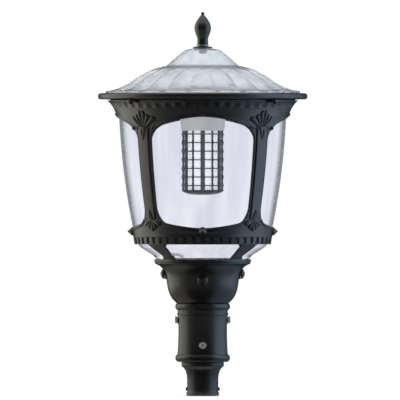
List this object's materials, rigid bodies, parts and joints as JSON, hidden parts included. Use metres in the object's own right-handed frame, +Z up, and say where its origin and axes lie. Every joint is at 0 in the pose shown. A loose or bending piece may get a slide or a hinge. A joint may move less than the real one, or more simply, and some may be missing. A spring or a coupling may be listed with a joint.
{
  "type": "post top lantern",
  "caption": "Round post top street lantern: clear fluted dome on a hinged roof, arched curved windows, hanging LED column, clamping neck and pole adapter.",
  "frame": {"origin": "centre of the pole adapter's lower rim, on the pole's axis", "axes": "+Z up along the pole, -Y to the lantern's front, the roof hinge on +Y"},
  "size_m": [0.5026, 0.5026, 0.9216],
  "materials": {
    "black_paint": "semi-gloss black powder coat",
    "adapter_paint": "satin black powder coat",
    "stainless": "plain",
    "black_steel": "blackened",
    "clear_plastic": "clear, polished",
    "white_paint": "satin white",
    "grey_casting": "satin cast",
    "mirror_plastic": "metallised",
    "rubber": "matt",
    "grey_case": "matt",
    "pale_nylon": "matt"
  },
  "bodies": {
    "lantern": {"pole_adapter": "adapter_paint", "fitter": "black_paint", "lower_frame": "black_paint", "lower_lens": "clear_plastic", "frame_bolt_1": "black_paint", "frame_bolt_2": "black_paint", "frame_bolt_3": "black_paint", "frame_bolt_4": "black_paint", "post_1": "black_paint", "post_2": "black_paint", "post_3": "black_paint", "post_4": "black_paint", "post_screw_1": "stainless", "post_screw_2": "stainless", "post_screw_3": "stainless", "post_screw_4": "stainless", "pane_front": "clear_plastic", "pane_right": "clear_plastic", "pane_rear": "clear_plastic", "pane_left": "clear_plastic", "pane_seal": "rubber", "upper_ring": "black_paint", "roof_seal": "rubber", "gear_tray": "white_paint", "tray_screw_1": "stainless", "tray_screw_2": "stainless", "column_cap": "grey_casting", "column_nut": "stainless", "led_core": "grey_casting", "reflector_ring_1": "mirror_plastic", "reflector_ring_2": "mirror_plastic", "reflector_ring_3": "mirror_plastic", "reflector_ring_4": "mirror_plastic", "reflector_ring_5": "mirror_plastic", "reflector_ring_6": "mirror_plastic", "column_end_cap": "black_paint", "column_bolt": "stainless", "gear_plate": "white_paint", "plate_screw_1": "stainless", "plate_screw_2": "stainless", "led_driver": "grey_case", "terminal_block": "pale_nylon", "column_lead": "rubber", "hinge_pin": "stainless"},
    "roof": {"roof_plate": "black_paint", "dome_gasket": "rubber", "dome": "clear_plastic", "finial": "black_paint", "finial_ring": "stainless", "finial_flange": "black_paint", "finial_nut": "black_steel"},
    "roof_screw_right": {"roof_screw_right": "black_steel"},
    "roof_screw_left": {"roof_screw_left": "black_steel"},
    "clamp_bolt_1": {"clamp_bolt_1": "stainless"},
    "clamp_bolt_2": {"clamp_bolt_2": "stainless"},
    "clamp_bolt_3": {"clamp_bolt_3": "stainless"},
    "clamp_bolt_4": {"clamp_bolt_4": "stainless"},
    "adapter_screw_1": {"adapter_screw_1": "black_steel"},
    "adapter_screw_2": {"adapter_screw_2": "black_steel"},
    "adapter_screw_3": {"adapter_screw_3": "black_steel"}
  },
  "joints": [
    {"name": "roof_hinge", "type": "hinge", "parent": "lantern", "child": "roof", "pos_m": [0, 0.239, 0.7018], "axis": [-1, 0, 0], "range_deg": [0, 100]},
    {"name": "roof_screw_right_slide", "type": "slide", "parent": "lantern", "child": "roof_screw_right", "axis": [0, 0, -1], "range_m": [0, 0.009]},
    {"name": "roof_screw_left_slide", "type": "slide", "parent": "lantern", "child": "roof_screw_left", "axis": [0, 0, -1], "range_m": [0, 0.009]},
    {"name": "clamp_bolt_1_slide", "type": "slide", "parent": "lantern", "child": "clamp_bolt_1", "axis": [0, -1, 0], "range_m": [0, 0.006]},
    {"name": "clamp_bolt_2_slide", "type": "slide", "parent": "lantern", "child": "clamp_bolt_2", "axis": [1, 0, 0], "range_m": [0, 0.006]},
    {"name": "clamp_bolt_3_slide", "type": "slide", "parent": "lantern", "child": "clamp_bolt_3", "axis": [0, 1, 0], "range_m": [0, 0.006]},
    {"name": "clamp_bolt_4_slide", "type": "slide", "parent": "lantern", "child": "clamp_bolt_4", "axis": [-1, 0, 0], "range_m": [0, 0.006]},
    {"name": "adapter_screw_1_slide", "type": "slide", "parent": "lantern", "child": "adapter_screw_1", "axis": [0, -1, 0], "range_m": [-0.0007, 0.004]},
    {"name": "adapter_screw_2_slide", "type": "slide", "parent": "lantern", "child": "adapter_screw_2", "axis": [1, 0, 0], "range_m": [-0.0007, 0.004]},
    {"name": "adapter_screw_3_slide", "type": "slide", "parent": "lantern", "child": "adapter_screw_3", "axis": [-1, 0, 0], "range_m": [-0.0007, 0.004]}
  ]
}
